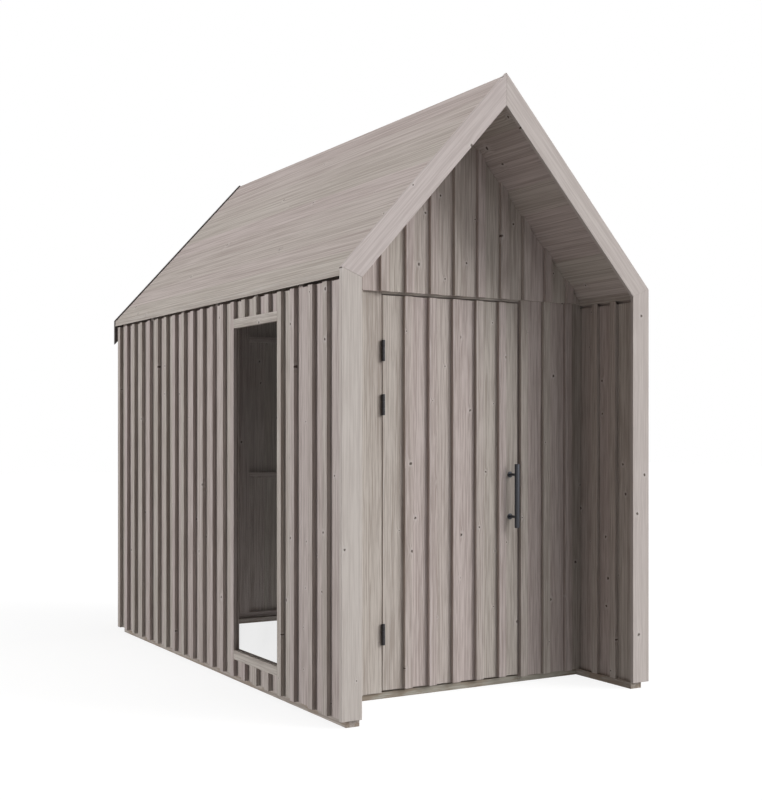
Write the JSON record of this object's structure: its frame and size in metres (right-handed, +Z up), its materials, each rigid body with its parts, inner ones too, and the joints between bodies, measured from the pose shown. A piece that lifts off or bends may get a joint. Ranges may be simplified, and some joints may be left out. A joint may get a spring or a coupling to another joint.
{
  "type": "wooden garden shed with an open porch",
  "caption": "Narrow board-and-batten garden shed with a steep gable roof, a recessed porch, a hinged door and a tall fixed side window.",
  "frame": {"origin": "on the ground under the middle of the shed's bounding box", "axes": "+X to the right seen from the porch, +Y from the porch to the back wall, +Z up"},
  "size_m": [1.754, 3.105, 2.9648],
  "materials": {
    "stained_cladding": "pale grey stained softwood, sawn and planed",
    "painted_trim": "pale grey stained softwood, planed",
    "roof_boards": "pale grey stained softwood boards",
    "soffit_boards": "grey stained softwood boards",
    "sawn_frame": "sawn softwood",
    "treated_bearer": "grey treated softwood",
    "hinge_metal": "dark satin coated steel",
    "handle_metal": "dark grey satin coated steel",
    "clear_glass": "clear sheet glass"
  },
  "bodies": {
    "shed": {"back_battens": "stained_cladding", "back_rails": "sawn_frame", "back_studs": "sawn_frame", "back_wall": "stained_cladding", "barge_board_left": "painted_trim", "barge_board_right": "painted_trim", "cross_bearers": "treated_bearer", "door_wall_battens": "stained_cladding", "door_wall_head": "stained_cladding", "door_wall_left": "stained_cladding", "door_wall_posts": "sawn_frame", "door_wall_rails": "sawn_frame", "door_wall_right": "stained_cladding", "front_rake_left": "painted_trim", "front_rake_right": "painted_trim", "front_trim_left": "painted_trim", "front_trim_right": "painted_trim", "gable": "stained_cladding", "gable_battens": "stained_cladding", "hinge_post_leaves": "hinge_metal", "left_battens": "stained_cladding", "left_wall_at_window": "stained_cladding", "left_wall_front": "stained_cladding", "left_wall_rear": "stained_cladding", "porch_battens": "stained_cladding", "porch_lining": "stained_cladding", "porch_rails": "stained_cladding", "rafters": "sawn_frame", "ridge_beam": "sawn_frame", "right_battens": "stained_cladding", "right_wall": "stained_cladding", "roof_left": "roof_boards", "roof_right": "roof_boards", "side_bearers": "treated_bearer", "side_rails": "sawn_frame", "side_studs": "sawn_frame", "soffit_left": "soffit_boards", "soffit_right": "soffit_boards", "wall_plates": "sawn_frame", "window_beads": "stained_cladding", "window_casing": "stained_cladding", "window_pane": "clear_glass"},
    "door": {"door_boards": "stained_cladding", "door_battens": "stained_cladding", "door_ledges": "sawn_frame", "door_braces": "sawn_frame", "hinge_door_leaves": "hinge_metal", "door_handle": "handle_metal"}
  },
  "joints": [
    {"name": "door_hinge", "type": "hinge", "parent": "shed", "child": "door", "pos_m": [-0.4195, -1.1265, 1], "axis": [0, 0, -1], "range_deg": [0, 110]}
  ]
}
